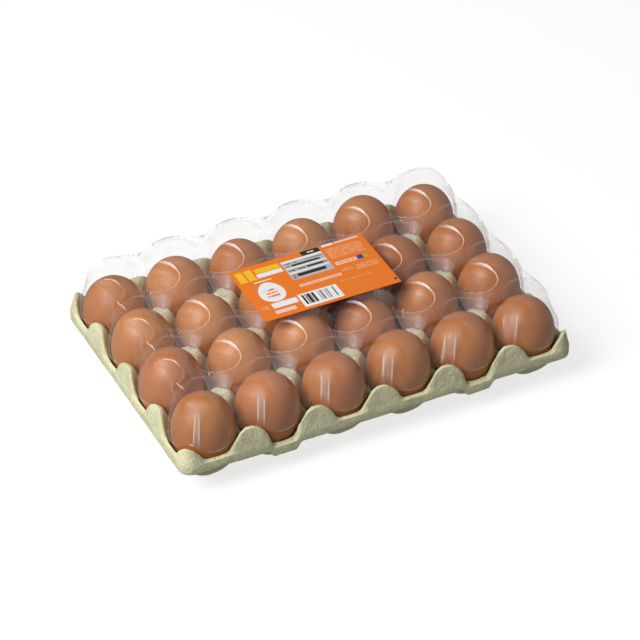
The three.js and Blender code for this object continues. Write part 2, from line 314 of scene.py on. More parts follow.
def set_bump(nodes, shader, height, strength, distance):
    """Bumps the shader's surface by `height`, over a distance in millimetres."""
    values = {"Strength": strength, "Distance": distance * MM, "Height": height}
    nodes.set(shader.inputs["Normal"], nodes.add("ShaderNodeBump", values).outputs[0])


def object_place(nodes):
    return nodes.add("ShaderNodeTexCoord").outputs["Object"]


def place_parts(nodes):
    """X, Y and Z of a place on the piece, in millimetres."""
    values = {0: object_place(nodes), "Scale": 1 / MM}
    place = nodes.add("ShaderNodeVectorMath", values, operation="SCALE").outputs[0]
    return nodes.add("ShaderNodeSeparateXYZ", {"Vector": place}).outputs


def mottle_group():
    """Cloudy patches and small specks, as on a shell or in pulp."""
    tree, nodes, given, out = new_group(
        "mottle",
        {
            "Pale": (1.0, 1.0, 1.0, 1.0),
            "Deep": (0.5, 0.5, 0.5, 1.0),
            "Speck": (0.2, 0.2, 0.2, 1.0),
            "Patch Scale": 40.0,
            "Speck Scale": 600.0,
            "Speck Share": 0.3,
        },
        {"Colour": "NodeSocketColor", "Patches": "NodeSocketFloat"},
    )
    place = object_place(nodes)
    patches = nodes.ramp(nodes.noise(place, given["Patch Scale"], 4.0, 0.6), 0.3, 0.7)
    specks = nodes.ramp(nodes.noise(place, given["Speck Scale"], 2.0, 0.5), 0.6, 0.72)
    base = nodes.blend(patches, given["Pale"], given["Deep"])
    share = nodes.product(specks, given["Speck Share"])
    nodes.set(out["Colour"], nodes.blend(share, base, given["Speck"]))
    nodes.set(out["Patches"], patches)
    return tree


MOTTLE = mottle_group()

# ---- Pulp ----
INNER_HALF = {"X": 131.0, "Y": 85.0}  # half sizes of the pack without its edge
INNER_BLUR = 3.0
# Painted light: the inner pillars are made paler near their upper ends, as if lit from above.
LIT_TOP_PULP = (0.95, 0.93, 0.66, 1)
LIT_TOP_SHARE = 0.8
LIT_TOP_ABOVE = (30.0, 36.5)  # the heights between which the pillars are painted paler, as if lit from above


def inner_share(nodes, parts):
    """1 among the inner pillars and wells, and 0 at the pack's edge."""
    shares = []
    for axis, half in INNER_HALF.items():
        away = nodes.math("ABSOLUTE", parts[axis])
        shares.append(nodes.ramp(away, half + INNER_BLUR, half - INNER_BLUR))
    return nodes.product(*shares)


def pulp_material():
    """Grey-green pulp, with painted light that makes the inner pillars paler near their upper
    ends.
    """
    material, nodes, shader = new_material(
        "moulded_pulp", Roughness=0.92, Specular_IOR_Level=0.25
    )
    mottle = use_group(
        nodes,
        MOTTLE,
        Pale=(0.82, 0.80, 0.52, 1),
        Deep=(0.69, 0.675, 0.43, 1),
        Speck=(0.47, 0.45, 0.29, 1),
        Patch_Scale=85.0,
        Speck_Scale=560.0,
        Speck_Share=0.5,
    )
    parts = place_parts(nodes)
    # Painted light: paler pulp high on the inner pillars, where light falls from above.
    lit_tops = nodes.ramp(parts["Z"], *LIT_TOP_ABOVE, 0.0, LIT_TOP_SHARE)
    lit_tops = nodes.product(lit_tops, inner_share(nodes, parts))
    nodes.set(shader.inputs["Base Color"], nodes.blend(lit_tops, mottle["Colour"], LIT_TOP_PULP))
    place = object_place(nodes)
    fibres = nodes.noise(place, 480.0, 5.0, 0.7)
    lumps = nodes.noise(place, 190.0, 3.0, 0.6)
    height = nodes.math("MULTIPLY_ADD", fibres, 0.7, lumps)
    set_bump(nodes, shader, height, strength=0.85, distance=1.4)
    return material


# ---- Eggshell ----
# The pale and the deep colour of each tone of shell.
SHELL_TONES = {
    "tan": ((0.59, 0.240, 0.078, 1), (0.49, 0.178, 0.054, 1)),
    "warm": ((0.53, 0.192, 0.056, 1), (0.43, 0.144, 0.038, 1)),
    "rosy": ((0.54, 0.194, 0.066, 1), (0.44, 0.150, 0.047, 1)),
    "deep": ((0.48, 0.153, 0.041, 1), (0.38, 0.115, 0.029, 1)),
}
SPECK_DEPTH = 0.55  # a speck's colour as a share of the deep one
SHELL_ROUGHNESS = (0.40, 0.50)
# The tone of each egg, front row first, left to right.
EGG_TONES = (
    ("warm", "rosy", "rosy", "warm", "warm", "warm"),
    ("rosy", "tan", "tan", "rosy", "warm", "warm"),
    ("tan", "tan", "tan", "warm", "deep", "warm"),
    ("warm", "tan", "warm", "tan", "warm", "warm"),
)


def shell_material(tone):
    """A matt shell with faint clouds, fine specks and pores."""
    pale, deep = SHELL_TONES[tone]
    material, nodes, shader = new_material("eggshell_" + tone, Specular_IOR_Level=0.42)
    mottle = use_group(
        nodes,
        MOTTLE,
        Pale=pale,
        Deep=deep,
        Speck=(*(c * SPECK_DEPTH for c in deep[:3]), 1),
        Patch_Scale=38.0,
        Speck_Scale=950.0,
        Speck_Share=0.22,
    )
    nodes.set(shader.inputs["Base Color"], mottle["Colour"])
    roughness = nodes.ramp(mottle["Patches"], 0.0, 1.0, *SHELL_ROUGHNESS)
    nodes.set(shader.inputs["Roughness"], roughness)
    pores = nodes.noise(object_place(nodes), 1500.0, 2.0, 0.6)
    set_bump(nodes, shader, pores, strength=0.12, distance=0.1)
    return material


# ---- Film, the marks that drawing leaves in it, and painted highlights on it ----
MARKS = ("Hairs", "StreakHighlights", "RimHighlights", "PaintedGlints", "Feet", "Bends", "Dull")
# Each pair runs from the height or place where there is no mark to where it is full.
HAIRS_BELOW = (64.3, 61.5)
# The next three pairs bound the painted highlight streaks down the front wall.
STREAKS_BELOW = (64.5, 56.0)
STREAKS_ABOVE = (32.0, 47.0)
STREAKS_IN_FRONT = (-78.0, -81.0)
RIMS_ABOVE = (62.2, 63.4)
RIMS_BEHIND = (-70.0, -62.0)  # no well stands in front of the front row
LEFT_ARCS_WITHIN = (-130.0, -128.0)
BENDS_ABOVE = (56.0, 60.0)
FEET_BELOW = (54.0, 42.0)
DULL_BELOW = (48.0, 44.0)

HAIR_FINENESS = 45.0  # round a dome
HAIR_RUN = 0.06  # down its wall, per millimetre
HAIR_SHARE = (0.60, 0.74)
DOME_SEED = 17.3  # sets each dome's hair lines apart from its neighbours'

# A painted highlight streak is a faint band between two lines, standing in for a reflection.
# Angles are in radians round a dome's axis, and rise by the second number for each millimetre from
# the left-hand column.
STREAK_MIDDLE = (2.2, 0.00145)  # clockwise from the right-hand side
STREAK_HALF_WIDTH = (0.08, 0.00037)
STREAK_LINE = (0.05, 0.004)  # half widths of a line: of all of it, and of its full middle
STREAK_BAND, STREAK_BAND_BLUR = 0.42, 0.03
STREAK_UNEVEN = (1.4, 0.1)  # how the hair noise makes them uneven: factor, then offset
STREAK_GLINT = 0.7
FEET_UNEVEN = (1.6, -0.2)

HIGHLIGHT_LINE = (0.6, 0.1)  # half widths of a painted highlight line along a rim or a shoulder, given in the same way
BEND_HALF_WIDTH = (3.4, 1.4)
BEND_IN = 0.6  # the bend's middle, in from the rim's line
# How strong the painted highlight arcs along the rims and their glints are, by the side of the
# well that they are on, so that they stand where highlights fall: two directions, as shares of the
# way towards that side, and the strengths there.
RIM_FRONT_RIGHT = (-0.9, 0.6, 0.1, 1.0)
FRONT_LEAN = -1.3  # that direction goes this far to the front for each step to the right
RIM_GLINT_FRONT = (0.2, -0.6, 0.0, 0.5)
# Beside the left-hand column the painted highlight arcs are smaller and lie nearer to the domes.
LEFT_ARC = 12.0
LEFT_ARC_IN = 11.0  # from the pack's edge
LEFT_ARC_BACK = 4.0
LEFT_ARC_BEHIND = (0.1, 0.7, 0.25, 0.9)
LEFT_GLINT_BEHIND = (0.2, 0.6)
# Straight painted highlight lines go on from them along the domes' shoulders.
LEFT_SHOULDER_HIGHLIGHT = 130.2  # from the pack's middle
LEFT_HIGHLIGHT_NEAR = (-11.5, -12.5)
LEFT_HIGHLIGHT_FAR = (-27.5, -23.0)


def in_cell(nodes, place, shift):
    """The number of the pitch-wide cell that a place is in, and its way from the cell's middle."""
    cell = nodes.math("MULTIPLY_ADD", place, 1 / PITCH, shift)
    share = nodes.math("FRACT", cell)
    return nodes.math("FLOOR", cell), nodes.math("MULTIPLY_ADD", share, PITCH, -HALF)


def hair_noise(nodes, parts):
    """Noise drawn out down each dome's wall, and the direction from the dome's axis."""
    cells, away = zip(*(in_cell(nodes, parts[axis], 0.0) for axis in "XY"))
    radius = nodes.length(*away)
    place = {"Z": nodes.product(parts["Z"], HAIR_RUN)}
    for axis, cell, distance in zip("XY", cells, away):
        direction = nodes.math("DIVIDE", distance, radius)
        seed = nodes.product(cell, DOME_SEED)
        place[axis] = nodes.math("MULTIPLY_ADD", direction, HAIR_FINENESS, seed)
    place = nodes.add("ShaderNodeCombineXYZ", place).outputs[0]
    return nodes.noise(place, 1.0, 1.0, 0.5), nodes.math("ARCTAN2", away[1], away[0])


def painted_streaks(nodes, parts, hairs, angle):
    """Painted highlight streaks down the front wall, one on each dome, further round and wider
    towards the right, standing in for reflections.
    """
    from_left = nodes.math("ADD", parts["X"], (COLUMNS - 1) * HALF)
    middle = nodes.math("MULTIPLY_ADD", from_left, STREAK_MIDDLE[1], STREAK_MIDDLE[0])
    half_width = nodes.math("MULTIPLY_ADD", from_left, STREAK_HALF_WIDTH[1], STREAK_HALF_WIDTH[0])
    off = nodes.math("ABSOLUTE", nodes.math("ADD", angle, middle))
    lines = nodes.near(off, half_width, *STREAK_LINE)
    outside = nodes.math("SUBTRACT", off, half_width)
    band = nodes.ramp(outside, -STREAK_BAND_BLUR, STREAK_BAND_BLUR, STREAK_BAND, 0.0)
    return nodes.product(
        nodes.math("MAXIMUM", lines, band),
        nodes.ramp(parts["Z"], *STREAKS_BELOW),
        nodes.ramp(parts["Z"], *STREAKS_ABOVE),
        nodes.ramp(parts["Y"], *STREAKS_IN_FRONT),
        nodes.math("MULTIPLY_ADD", hairs, *STREAK_UNEVEN),
    )


def painted_rim_arcs(nodes, parts):
    """Painted highlight arcs along the wells' rims, the painted glints along them, and the
    distance from a well's axis.
    """
    at_left = nodes.math("LESS_THAN", parts["X"], -(COLUMNS - 1) * HALF)
    away = []
    for axis, middle, left_middle in (("X", 0.0, LEFT_ARC_IN), ("Y", WELL_LEAN, LEFT_ARC_BACK)):
        middle = nodes.choose(at_left, left_middle, middle)
        away.append(nodes.math("SUBTRACT", in_cell(nodes, parts[axis], 0.5)[1], middle))
    reach = nodes.length(*away)
    on_top = nodes.ramp(parts["Z"], *RIMS_ABOVE)
    on_top = nodes.product(on_top, nodes.ramp(parts["Y"], *RIMS_BEHIND))
    line = nodes.near(reach, nodes.choose(at_left, LEFT_ARC, WELL_RIM), *HIGHLIGHT_LINE)
    line = nodes.product(line, on_top)

    behind = nodes.math("DIVIDE", away[1], reach)
    front_right = nodes.math("MULTIPLY_ADD", away[1], FRONT_LEAN, away[0])
    share = nodes.ramp(nodes.math("DIVIDE", front_right, reach), *RIM_FRONT_RIGHT)
    left_share = nodes.ramp(behind, *LEFT_ARC_BEHIND)
    left_share = nodes.product(left_share, nodes.ramp(parts["X"], *LEFT_ARCS_WITHIN))
    glint = nodes.ramp(behind, *RIM_GLINT_FRONT)
    left_glint = nodes.ramp(behind, *LEFT_GLINT_BEHIND)

    # Painted highlight lines along the left-hand domes' shoulders.
    shoulder_highlight = nodes.product(
        nodes.near(parts["X"], -LEFT_SHOULDER_HIGHLIGHT, *HIGHLIGHT_LINE),
        nodes.ramp(away[1], *LEFT_HIGHLIGHT_NEAR),
        nodes.ramp(away[1], *LEFT_HIGHLIGHT_FAR),
        on_top,
    )
    # Painted highlight arcs, strongest on the sides of the wells where highlights fall.
    rims = nodes.product(line, nodes.choose(at_left, left_share, share))
    glints = nodes.product(line, nodes.choose(at_left, left_glint, glint))
    return nodes.math("MAXIMUM", rims, shoulder_highlight), nodes.math("MAXIMUM", glints, shoulder_highlight), reach


def film_marks_group():
    """Masks of the film's marks: hair lines down the domes' walls, painted highlight streaks down
    the front wall, painted highlight arcs along the wells' rims with their painted glints, the
    wells' milky feet, and where the sheet is bent and where it is dull."""
    outputs = {label: "NodeSocketFloat" for label in MARKS}
    tree, nodes, _, out = new_group("film_marks", {}, outputs)
    parts = place_parts(nodes)
    hairs, angle = hair_noise(nodes, parts)
    streaks = painted_streaks(nodes, parts, hairs, angle)
    rims, glints, reach = painted_rim_arcs(nodes, parts)
    inner = inner_share(nodes, parts)
    top = nodes.ramp(parts["Z"], *BENDS_ABOVE)
    low = nodes.product(nodes.ramp(parts["Z"], *DULL_BELOW), inner)
    lines = nodes.ramp(hairs, *HAIR_SHARE)
    clouds = nodes.math("MULTIPLY_ADD", hairs, *FEET_UNEVEN)
    marks = {
        "Hairs": nodes.product(lines, nodes.ramp(parts["Z"], *HAIRS_BELOW)),
        "StreakHighlights": streaks,
        "RimHighlights": rims,
        # Painted glints, along the painted streaks and arcs.
        "PaintedGlints": nodes.math("MULTIPLY_ADD", streaks, STREAK_GLINT, glints),
        "Feet": nodes.product(clouds, nodes.ramp(parts["Z"], *FEET_BELOW), inner),
        "Bends": nodes.product(nodes.near(reach, WELL_RIM - BEND_IN, *BEND_HALF_WIDTH), top),
        "Dull": nodes.math("MAXIMUM", top, low),
    }
    for label in MARKS:
        nodes.set(out[label], marks[label])
    return tree


COVER_HEAD_ON = 0.038
COVER_AT_SLANT = 0.36
COVER_AT_BENDS = 0.15  # the share of the cover that is left where the sheet is bent sharply
MILKY_AND_HIGHLIGHTS = {"Hairs": 0.05, "StreakHighlights": 0.28, "RimHighlights": 0.30, "Feet": 0.10}
DULLING = 5.0  # how quickly milky film and painted highlights turn dull
FILM_ROUGHNESS = (0.05, 0.6)  # where it is clear, and where it is dull
PAINTED_GLINT = (0.50, 0.43, 0.38, 1)


def film_material():
    """A clear film: it reflects a little head on and more at a slant, and lets the rest through.
    Where it is marked it is milky instead, and it is whitened the same way along the painted
    highlight streaks and arcs."""
    material, nodes, shader = new_material(
        "clear_film", Base_Color=(0.97, 0.98, 1.0, 1), Metallic=0.8, Emission_Strength=1.0
    )
    marks = use_group(nodes, film_marks_group())
    slant = nodes.add("ShaderNodeLayerWeight", {"Blend": 0.5}).outputs["Facing"]
    cover = nodes.math("POWER", slant, 5.0)
    cover = nodes.math("MULTIPLY_ADD", cover, COVER_AT_SLANT, COVER_HEAD_ON)
    thinned = nodes.math("MULTIPLY_ADD", marks["Bends"], COVER_AT_BENDS - 1, 1.0)
    cover = nodes.product(cover, thinned)
    whitened_and_highlit = 0.0
    # Milky marks and painted highlights both make the film whiter here.
    for label, strength in MILKY_AND_HIGHLIGHTS.items():
        whitened_and_highlit = nodes.math("MULTIPLY_ADD", marks[label], strength, whitened_and_highlit)
    nodes.set(shader.inputs["Alpha"], nodes.math("ADD", cover, whitened_and_highlit))
    # Painted glints: the film glows along the painted highlight streaks and arcs, though it is no
    # lamp.
    painted_glow = nodes.blend(marks["PaintedGlints"], (0, 0, 0, 1), PAINTED_GLINT)
    nodes.set(shader.inputs["Emission Color"], painted_glow)
    dull = nodes.math("MAXIMUM", marks["Dull"], nodes.product(whitened_and_highlit, DULLING))
    nodes.set(shader.inputs["Roughness"], nodes.ramp(dull, 0.0, 1.0, *FILM_ROUGHNESS))
    return material


# ---- Label print ----
LABEL_INK = {
    "orange": (0.88, 0.200, 0.012, 1),
    "yellow": (0.95, 0.55, 0.01, 1),
    "white": (0.90, 0.88, 0.86, 1),
    "grey": (0.50, 0.50, 0.50, 1),
    "dark": (0.012, 0.012, 0.012, 1),
    "blush": (0.90, 0.62, 0.52, 1),
    "peach": (0.90, 0.42, 0.22, 1),
    "blue": (0.02, 0.05, 0.33, 1),
    "lime": (0.40, 0.48, 0.02, 1),
}
# Solid patches of print: ink, then left, right, top and bottom as shares of the label's sides.
PATCHES = (
    ("yellow", 0.028, 0.080, 0.065, 0.262),
    ("yellow", 0.092, 0.146, 0.062, 0.262),
    ("yellow", 0.165, 0.345, 0.085, 0.165),
    ("white", 0.158, 0.345, 0.178, 0.250),
    ("white", 0.107, 0.235, 0.305, 0.320),
    ("white", 0.110, 0.292, 0.735, 0.828),
    ("blush", 0.100, 0.250, 0.870, 0.930),
    ("grey", 0.360, 0.668, 0.090, 0.455),
    ("dark", 0.530, 0.668, 0.010, 0.088),
    ("white", 0.575, 0.625, 0.040, 0.058),
    ("white", 0.364, 0.664, 0.100, 0.130),
    ("dark", 0.418, 0.628, 0.186, 0.218),
    ("white", 0.364, 0.664, 0.228, 0.250),
    ("dark", 0.510, 0.632, 0.268, 0.300),
    ("white", 0.364, 0.664, 0.318, 0.342),
    ("dark", 0.410, 0.622, 0.362, 0.415),
    ("white", 0.692, 0.775, 0.005, 0.042),
    ("blush", 0.785, 0.965, 0.008, 0.038),
    ("blush", 0.692, 0.848, 0.360, 0.420),
    ("blue", 0.857, 0.898, 0.345, 0.420),
    ("lime", 0.902, 0.935, 0.360, 0.412),
    ("blush", 0.370, 0.680, 0.556, 0.600),
    ("white", 0.305, 0.592, 0.716, 0.958),
    ("dark", 0.972, 0.990, 0.905, 0.940),
)
# Blocks of fine broken lines: ink, left, right, top, bottom, and how many lines.
FINE_PRINT = (
    ("orange", 0.125, 0.215, 0.470, 0.640, 3),
    ("dark", 0.372, 0.470, 0.142, 0.165, 1),
    ("dark", 0.530, 0.655, 0.142, 0.165, 1),
    ("dark", 0.372, 0.405, 0.190, 0.215, 1),
    ("dark", 0.372, 0.500, 0.268, 0.300, 1),
    ("dark", 0.640, 0.660, 0.268, 0.300, 1),
    ("dark", 0.372, 0.400, 0.360, 0.440, 2),
    ("peach", 0.692, 0.955, 0.090, 0.290, 6),
    ("orange", 0.700, 0.840, 0.372, 0.408, 1),
    ("peach", 0.700, 0.780, 0.500, 0.550, 2),
    ("peach", 0.800, 0.965, 0.490, 0.590, 3),
    ("peach", 0.630, 0.870, 0.690, 0.712, 1),
    ("peach", 0.030, 0.085, 0.750, 0.820, 2),
    ("orange", 0.380, 0.670, 0.568, 0.590, 1),
)
LINE_HALF = 0.28  # half a line's height, as a share of the lines' spacing
DASHES, DASH_GAPS = 210.0, 0.22  # places for dashes across the label, and the share left out
BAR_CODE = (0.328, 0.570, 0.740, 0.915)
STRIPES, STRIPE_GAPS = 230.0, 0.45  # the same for the bar code's stripes
BADGE = (0.172, 0.535, 9.0, 11.0)  # middle as shares of the label's sides, half sizes in mm
BADGE_TAPER = 0.14


def block_group():
    """A mask that is 1 inside a rectangle given in the same units as X and Y."""
    tree, nodes, given, out = new_group(
        "print_block",
        {"X": 0.0, "Y": 0.0, "Left": 0.0, "Right": 1.0, "Top": 0.0, "Bottom": 1.0},
        {"Mask": "NodeSocketFloat"},
    )
    inside = (
        nodes.math("GREATER_THAN", given["X"], given["Left"]),
        nodes.math("LESS_THAN", given["X"], given["Right"]),
        nodes.math("GREATER_THAN", given["Y"], given["Top"]),
        nodes.math("LESS_THAN", given["Y"], given["Bottom"]),
    )
    nodes.set(out["Mask"], nodes.product(*inside))
    return tree


def fine_print_group():
    """A mask of evenly spaced lines, broken into short dashes of uneven length."""
    tree, nodes, given, out = new_group(
        "fine_print",
        {"X": 0.0, "Y": 0.0, "Top": 0.0, "Bottom": 1.0, "Lines": 3.0},
        {"Mask": "NodeSocketFloat"},
    )
    depth = nodes.math("SUBTRACT", given["Y"], given["Top"])
    height = nodes.math("SUBTRACT", given["Bottom"], given["Top"])
    line = nodes.product(nodes.math("DIVIDE", depth, height), given["Lines"])
    from_middle = nodes.math("SUBTRACT", nodes.math("FRACT", line), 0.5)
    on_line = nodes.math("LESS_THAN", nodes.math("ABSOLUTE", from_middle), LINE_HALF)
    dash = nodes.math("FLOOR", nodes.product(given["X"], DASHES))
    seed = {"X": dash, "Y": nodes.math("FLOOR", line)}
    seed = nodes.add("ShaderNodeCombineXYZ", seed).outputs[0]
    chance = nodes.add("ShaderNodeTexWhiteNoise", {"Vector": seed}).outputs[0]
    inked = nodes.math("GREATER_THAN", chance, DASH_GAPS)
    nodes.set(out["Mask"], nodes.product(on_line, inked))
    return tree


def label_material(low, high):
    """The print on a label that reaches from low to high, both in millimetres."""
    material, nodes, shader = new_material("printed_label", Roughness=0.38)
    block, fine = block_group(), fine_print_group()
    width, height = high.x - low.x, high.y - low.y
    parts = place_parts(nodes)
    across = nodes.math("DIVIDE", nodes.math("SUBTRACT", parts["X"], low.x), width)
    down = nodes.math("DIVIDE", nodes.math("SUBTRACT", high.y, parts["Y"]), height)

    def mask_of(left, right, top, bottom):
        sides = {"Left": left, "Right": right, "Top": top, "Bottom": bottom}
        return use_group(nodes, block, X=across, Y=down, **sides)["Mask"]

    colour = LABEL_INK["orange"]
    for ink, *sides in PATCHES:
        colour = nodes.blend(mask_of(*sides), colour, LABEL_INK[ink])

    # The egg-shaped badge, narrower towards its top.
    x, y, half_width, half_height = BADGE
    upright = nodes.product(nodes.math("SUBTRACT", down, y), height / half_height)
    sideways = nodes.product(nodes.math("SUBTRACT", across, x), width / half_width)
    fuller = nodes.math("MULTIPLY_ADD", upright, BADGE_TAPER, 1.0)
    reach = nodes.length(nodes.math("DIVIDE", sideways, fuller), upright)
    colour = nodes.blend(nodes.math("LESS_THAN", reach, 1.0), colour, LABEL_INK["white"])

    for ink, left, right, top, bottom, lines in FINE_PRINT:
        rows = {"Top": top, "Bottom": bottom, "Lines": float(lines)}
        dashes = use_group(nodes, fine, X=across, Y=down, **rows)["Mask"]
        mask = nodes.product(dashes, mask_of(left, right, top, bottom))
        colour = nodes.blend(mask, colour, LABEL_INK[ink])

    stripe = nodes.math("FLOOR", nodes.product(across, STRIPES))
    chance = nodes.add("ShaderNodeTexWhiteNoise", {"W": stripe}, noise_dimensions="1D").outputs[0]
    bars = nodes.math("GREATER_THAN", chance, STRIPE_GAPS)
    colour = nodes.blend(nodes.product(bars, mask_of(*BAR_CODE)), colour, LABEL_INK["dark"])
    nodes.set(shader.inputs["Base Color"], colour)
    paper = nodes.noise(object_place(nodes), 260.0, 2.0, 0.5)
    set_bump(nodes, shader, paper, strength=0.12, distance=0.3)
    return material


# ---- Tray ----
TRAY_STEPS = 30
CUP_RINGS, CUP_ROUND = 0.72, 19.5  # share of the grid's squares that are circles, and their reach
EDGE_START = 15.0  # from here outwards a cup beside the edge is drawn in to the crest
# The crest's way from a notch to a hump, along the side: start, length; and at a corner.
CREST_START, CREST_LENGTH = 10.0, 14.0
CORNER_START, CORNER_ROUND_START, CORNER_ROUND_LENGTH = 14.0, 11.0, 9.0
CORNER_IN, CORNER_BLUNTNESS = 2.7, 2.2  # how far the crest is drawn in at a corner, and how late

# The rounded lip: out by, down by. Then the humps' outer faces, as shares of the way to the
# ledge, and the skirt: the share of its height, and how far it stands out.
LIP = ((0.3, 0.06), (0.26, 0.2), (0.15, 0.4))
FACES = (0.35, 0.5, 0.75, 1.0)
SKIRT = ((0.05, 0.0), (0.5, 0.05), (0.93, 0.1), (1.0, 0.0))
LEDGE_IN = 0.1  # the ledge lies this far inside the rim's outline
LEAST_FACE = 0.1  # the least height of an outer face
SKIRT_WAVE, SKIRT_WAVE_SIZE = 0.6, 17.0
# Unevenness of the pulp: height and how many times finer than LUMP_SIZE.
LUMPS = ((0.13, 1.0), (0.09, 3.1))
LUMP_SIZE = 6.0
LUMP_SINK = 0.1
FOOT_GAP = 0.02  # no lump of a foot comes nearer to the ground
RIM_FADE = 5.0  # the wall grows thinner over this width


def hump(distance, top):
    """Height of the tray's edge by distance from a hump's middle."""
    return SADDLE + (top - SADDLE) * (1 - min(distance / HUMP_REACH, 1) ** HUMP_BLUNTNESS)


def tray_height(x, y, cup):
    outer_x, outer_y = cup.outer(x, y)
    wall = softened(CUP_PROFILE, math.hypot(x, y), CUP_SOFTENING)
    to_x, to_y = HALF - abs(x), HALF - abs(y)
    if outer_x and not outer_y:
        to_x *= HUMP_NARROWING
    if outer_y and not outer_x:
        to_y *= HUMP_NARROWING
    distance = (to_x**3 + to_y**3) ** (1 / 3)
    if outer_x or outer_y:
        low_side = x > 0 if outer_x else y > 0
        top = CORNER_TOP if outer_x and outer_y else LOW_PEAK_TOP if low_side else PEAK_TOP
        cap = hump(distance, top)
    else:
        cap = mix(SADDLE, PILLAR_TOP, smoothstep((PILLAR_REACH - distance) / PILLAR_FLANK))
    if outer_y and cup.column in DIP_COLUMNS:
        across = smoothstep((CREST_DIP - abs(x)) / CREST_DIP_FLANK)
        cap -= DIP * across * smoothstep((abs(y) - CREST_DIP_IN) / CREST_DIP_IN_FLANK)
    return soft_min(wall, cap, TRAY_BLEND)


def crest_out(along, corner):
    """How far the tray's crest lies from the cup's middle, by the place along its side."""
    if corner and along > CORNER_START:
        along = mix(CORNER_START, CORNER_PEAK, (along - CORNER_START) / (HALF - CORNER_START))
        turn = (along - CORNER_ROUND_START) / CORNER_ROUND_LENGTH
        return NOTCH_OUT - CORNER_IN * turn**CORNER_BLUNTNESS
    return mix(NOTCH_OUT, PEAK_OUT, smoothstep((along - CREST_START) / CREST_LENGTH))


def drawn_in(place, crest):
    """A place moved in so that the cup's side comes to lie at the crest."""
    share = max(0.0, (abs(place) - EDGE_START) / (HALF - EDGE_START))
    return math.copysign(abs(place) - share * (HALF - crest), place)


def tray_place(x, y, cup):
    def round_radius(ring):
        if ring < CUP_RINGS:
            return ring / CUP_RINGS * CUP_ROUND, 0.0
        return CUP_ROUND, (ring - CUP_RINGS) / (1 - CUP_RINGS)

    def edge_place(major, minor, swapped):
        return major * HALF, minor * HALF

    x, y = ring_place(x / HALF, y / HALF, round_radius, edge_place)
    outer_x, outer_y = cup.outer(x, y)
    place = Vector((cup.x + x, cup.y + y, tray_height(x, y, cup)))
    if outer_x:
        place.x = cup.x + drawn_in(x, crest_out(abs(y), outer_y))
    if outer_y:
        place.y = cup.y + drawn_in(y, crest_out(abs(x), outer_x))
    return place


def dip_share(lattice):
    """How far the rim hangs down here, from 0 to 1."""
    cup = Cup(lattice.x, lattice.y)
    if abs(lattice.y) < ROWS * HALF - 1e-3 or cup.column not in DIP_COLUMNS:
        return 0.0
    return smoothstep((SKIRT_DIP - abs(lattice.x - cup.x)) / SKIRT_DIP_FLANK)


def rim_point(co, out_by):
    """The point of the rim's rounded outline nearest to co, moved out by out_by."""
    flat = [half - RIM_CORNER for half in RIM_HALF]
    inner = Vector([min(max(c, -f), f) for c, f in zip(co.xy, flat)])
    away = co.xy - inner
    return inner + away.normalized() * (RIM_CORNER + out_by)


def tray_mesh():
    """The tray's upper face, and the share of the wall's thickness at each of its points."""
    bm, lattice = cup_grid(TRAY_STEPS, tray_place)

    def ledge_z(vert):
        return LEDGE_Z - DIP * dip_share(vert[lattice])

    def lip(out_by, down):
        def moved(vert):
            away = (rim_point(vert.co, 0.0) - vert.co.xy).normalized()
            return Vector((*(vert.co.xy + away * out_by), vert.co.z - down))

        return moved

    def face(share):
        def moved(vert):
            z = min(ledge_z(vert), vert.co.z - LEAST_FACE)
            return vert.co.lerp(Vector((*rim_point(vert.co, -LEDGE_IN), z)), share)

        return moved

    def skirt(share, flare):
        def moved(vert):
            place = Vector((vert.co.x, vert.co.y, 0)) / SKIRT_WAVE_SIZE
            wave = SKIRT_WAVE * noise.noise(place) * share
            z = ledge_z(vert) - (LEDGE_Z - SKIRT_Z) * share + wave
            return Vector((*rim_point(vert.co, flare), z))

        return moved

    for out_by, down in LIP:
        extrude_edge(bm, lip(out_by, down))
    for share in FACES:
        extrude_edge(bm, face(share))
    for share, flare in SKIRT:
        extrude_edge(bm, skirt(share, flare))
    facing_up(bm)
    for vert in bm.verts:
        place = vert.co / LUMP_SIZE
        rough = sum(height * noise.noise(place * finer) for height, finer in LUMPS)
        vert.co += vert.normal * (rough - LUMP_SINK)
        vert.co.z = max(vert.co.z, CUP_PROFILE[0][1] + FOOT_GAP)
    rim = []
    for vert in bm.verts:
        x, y, _ = vert[lattice]
        inside = min(COLUMNS * HALF - abs(x), ROWS * HALF - abs(y))
        rim.append(mix(RIM_SHARE, 1.0, smoothstep(inside / RIM_FADE)))
    return bm, rim


def add_wall(piece, name, thickness):
    wall = piece.modifiers.new(name, "SOLIDIFY")
    wall.thickness = thickness * MM
    wall.offset = -1
    return wall


def make_tray(material):
    bm, rim = tray_mesh()
    tray = finish_mesh(bm, "pulp_tray", [material])
    thickness = tray.vertex_groups.new(name="wall_share")
    for index, share in enumerate(rim):
        thickness.add([index], share, "REPLACE")
    add_wall(tray, "pulp_wall", PULP).vertex_group = thickness.name
    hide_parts("tray")
    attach(tray, "root")


# ---- Lid ----
LID_STEPS = 40
# Radii of the lid's circles by the share of the grid's squares in a dome.
LID_RINGS = ((0.0, 0.0), (0.2, 12.2), (0.4, 17.0))
CORNER_SWELL = 1.0  # how much fuller the outline is at the pack's corners
SHOULDER_BLUNTNESS = 1.2
LEAN_ROUNDS = 6
HEM_FLARE = 0.12  # each step of the hem stands this much further out
HEM_SHARES = (0.35, 0.5, 1.0)
HEM_BLUNTNESS = 2.2


def knee_out(along, corner):
    """The lid's outline above its hem: scallops round the domes, joined at the grooves."""
    if corner:
        radius = KNEE + CORNER_SWELL * (along / HALF) ** 4
        turn = math.pi / 4 * along / HALF
        return radius * math.sin(turn), radius * math.cos(turn)
    arc = math.sqrt(max(KNEE**2 - along**2, 0.0))
    return along, soft_max(arc, GROOVE_OUT, GROOVE_BLEND)


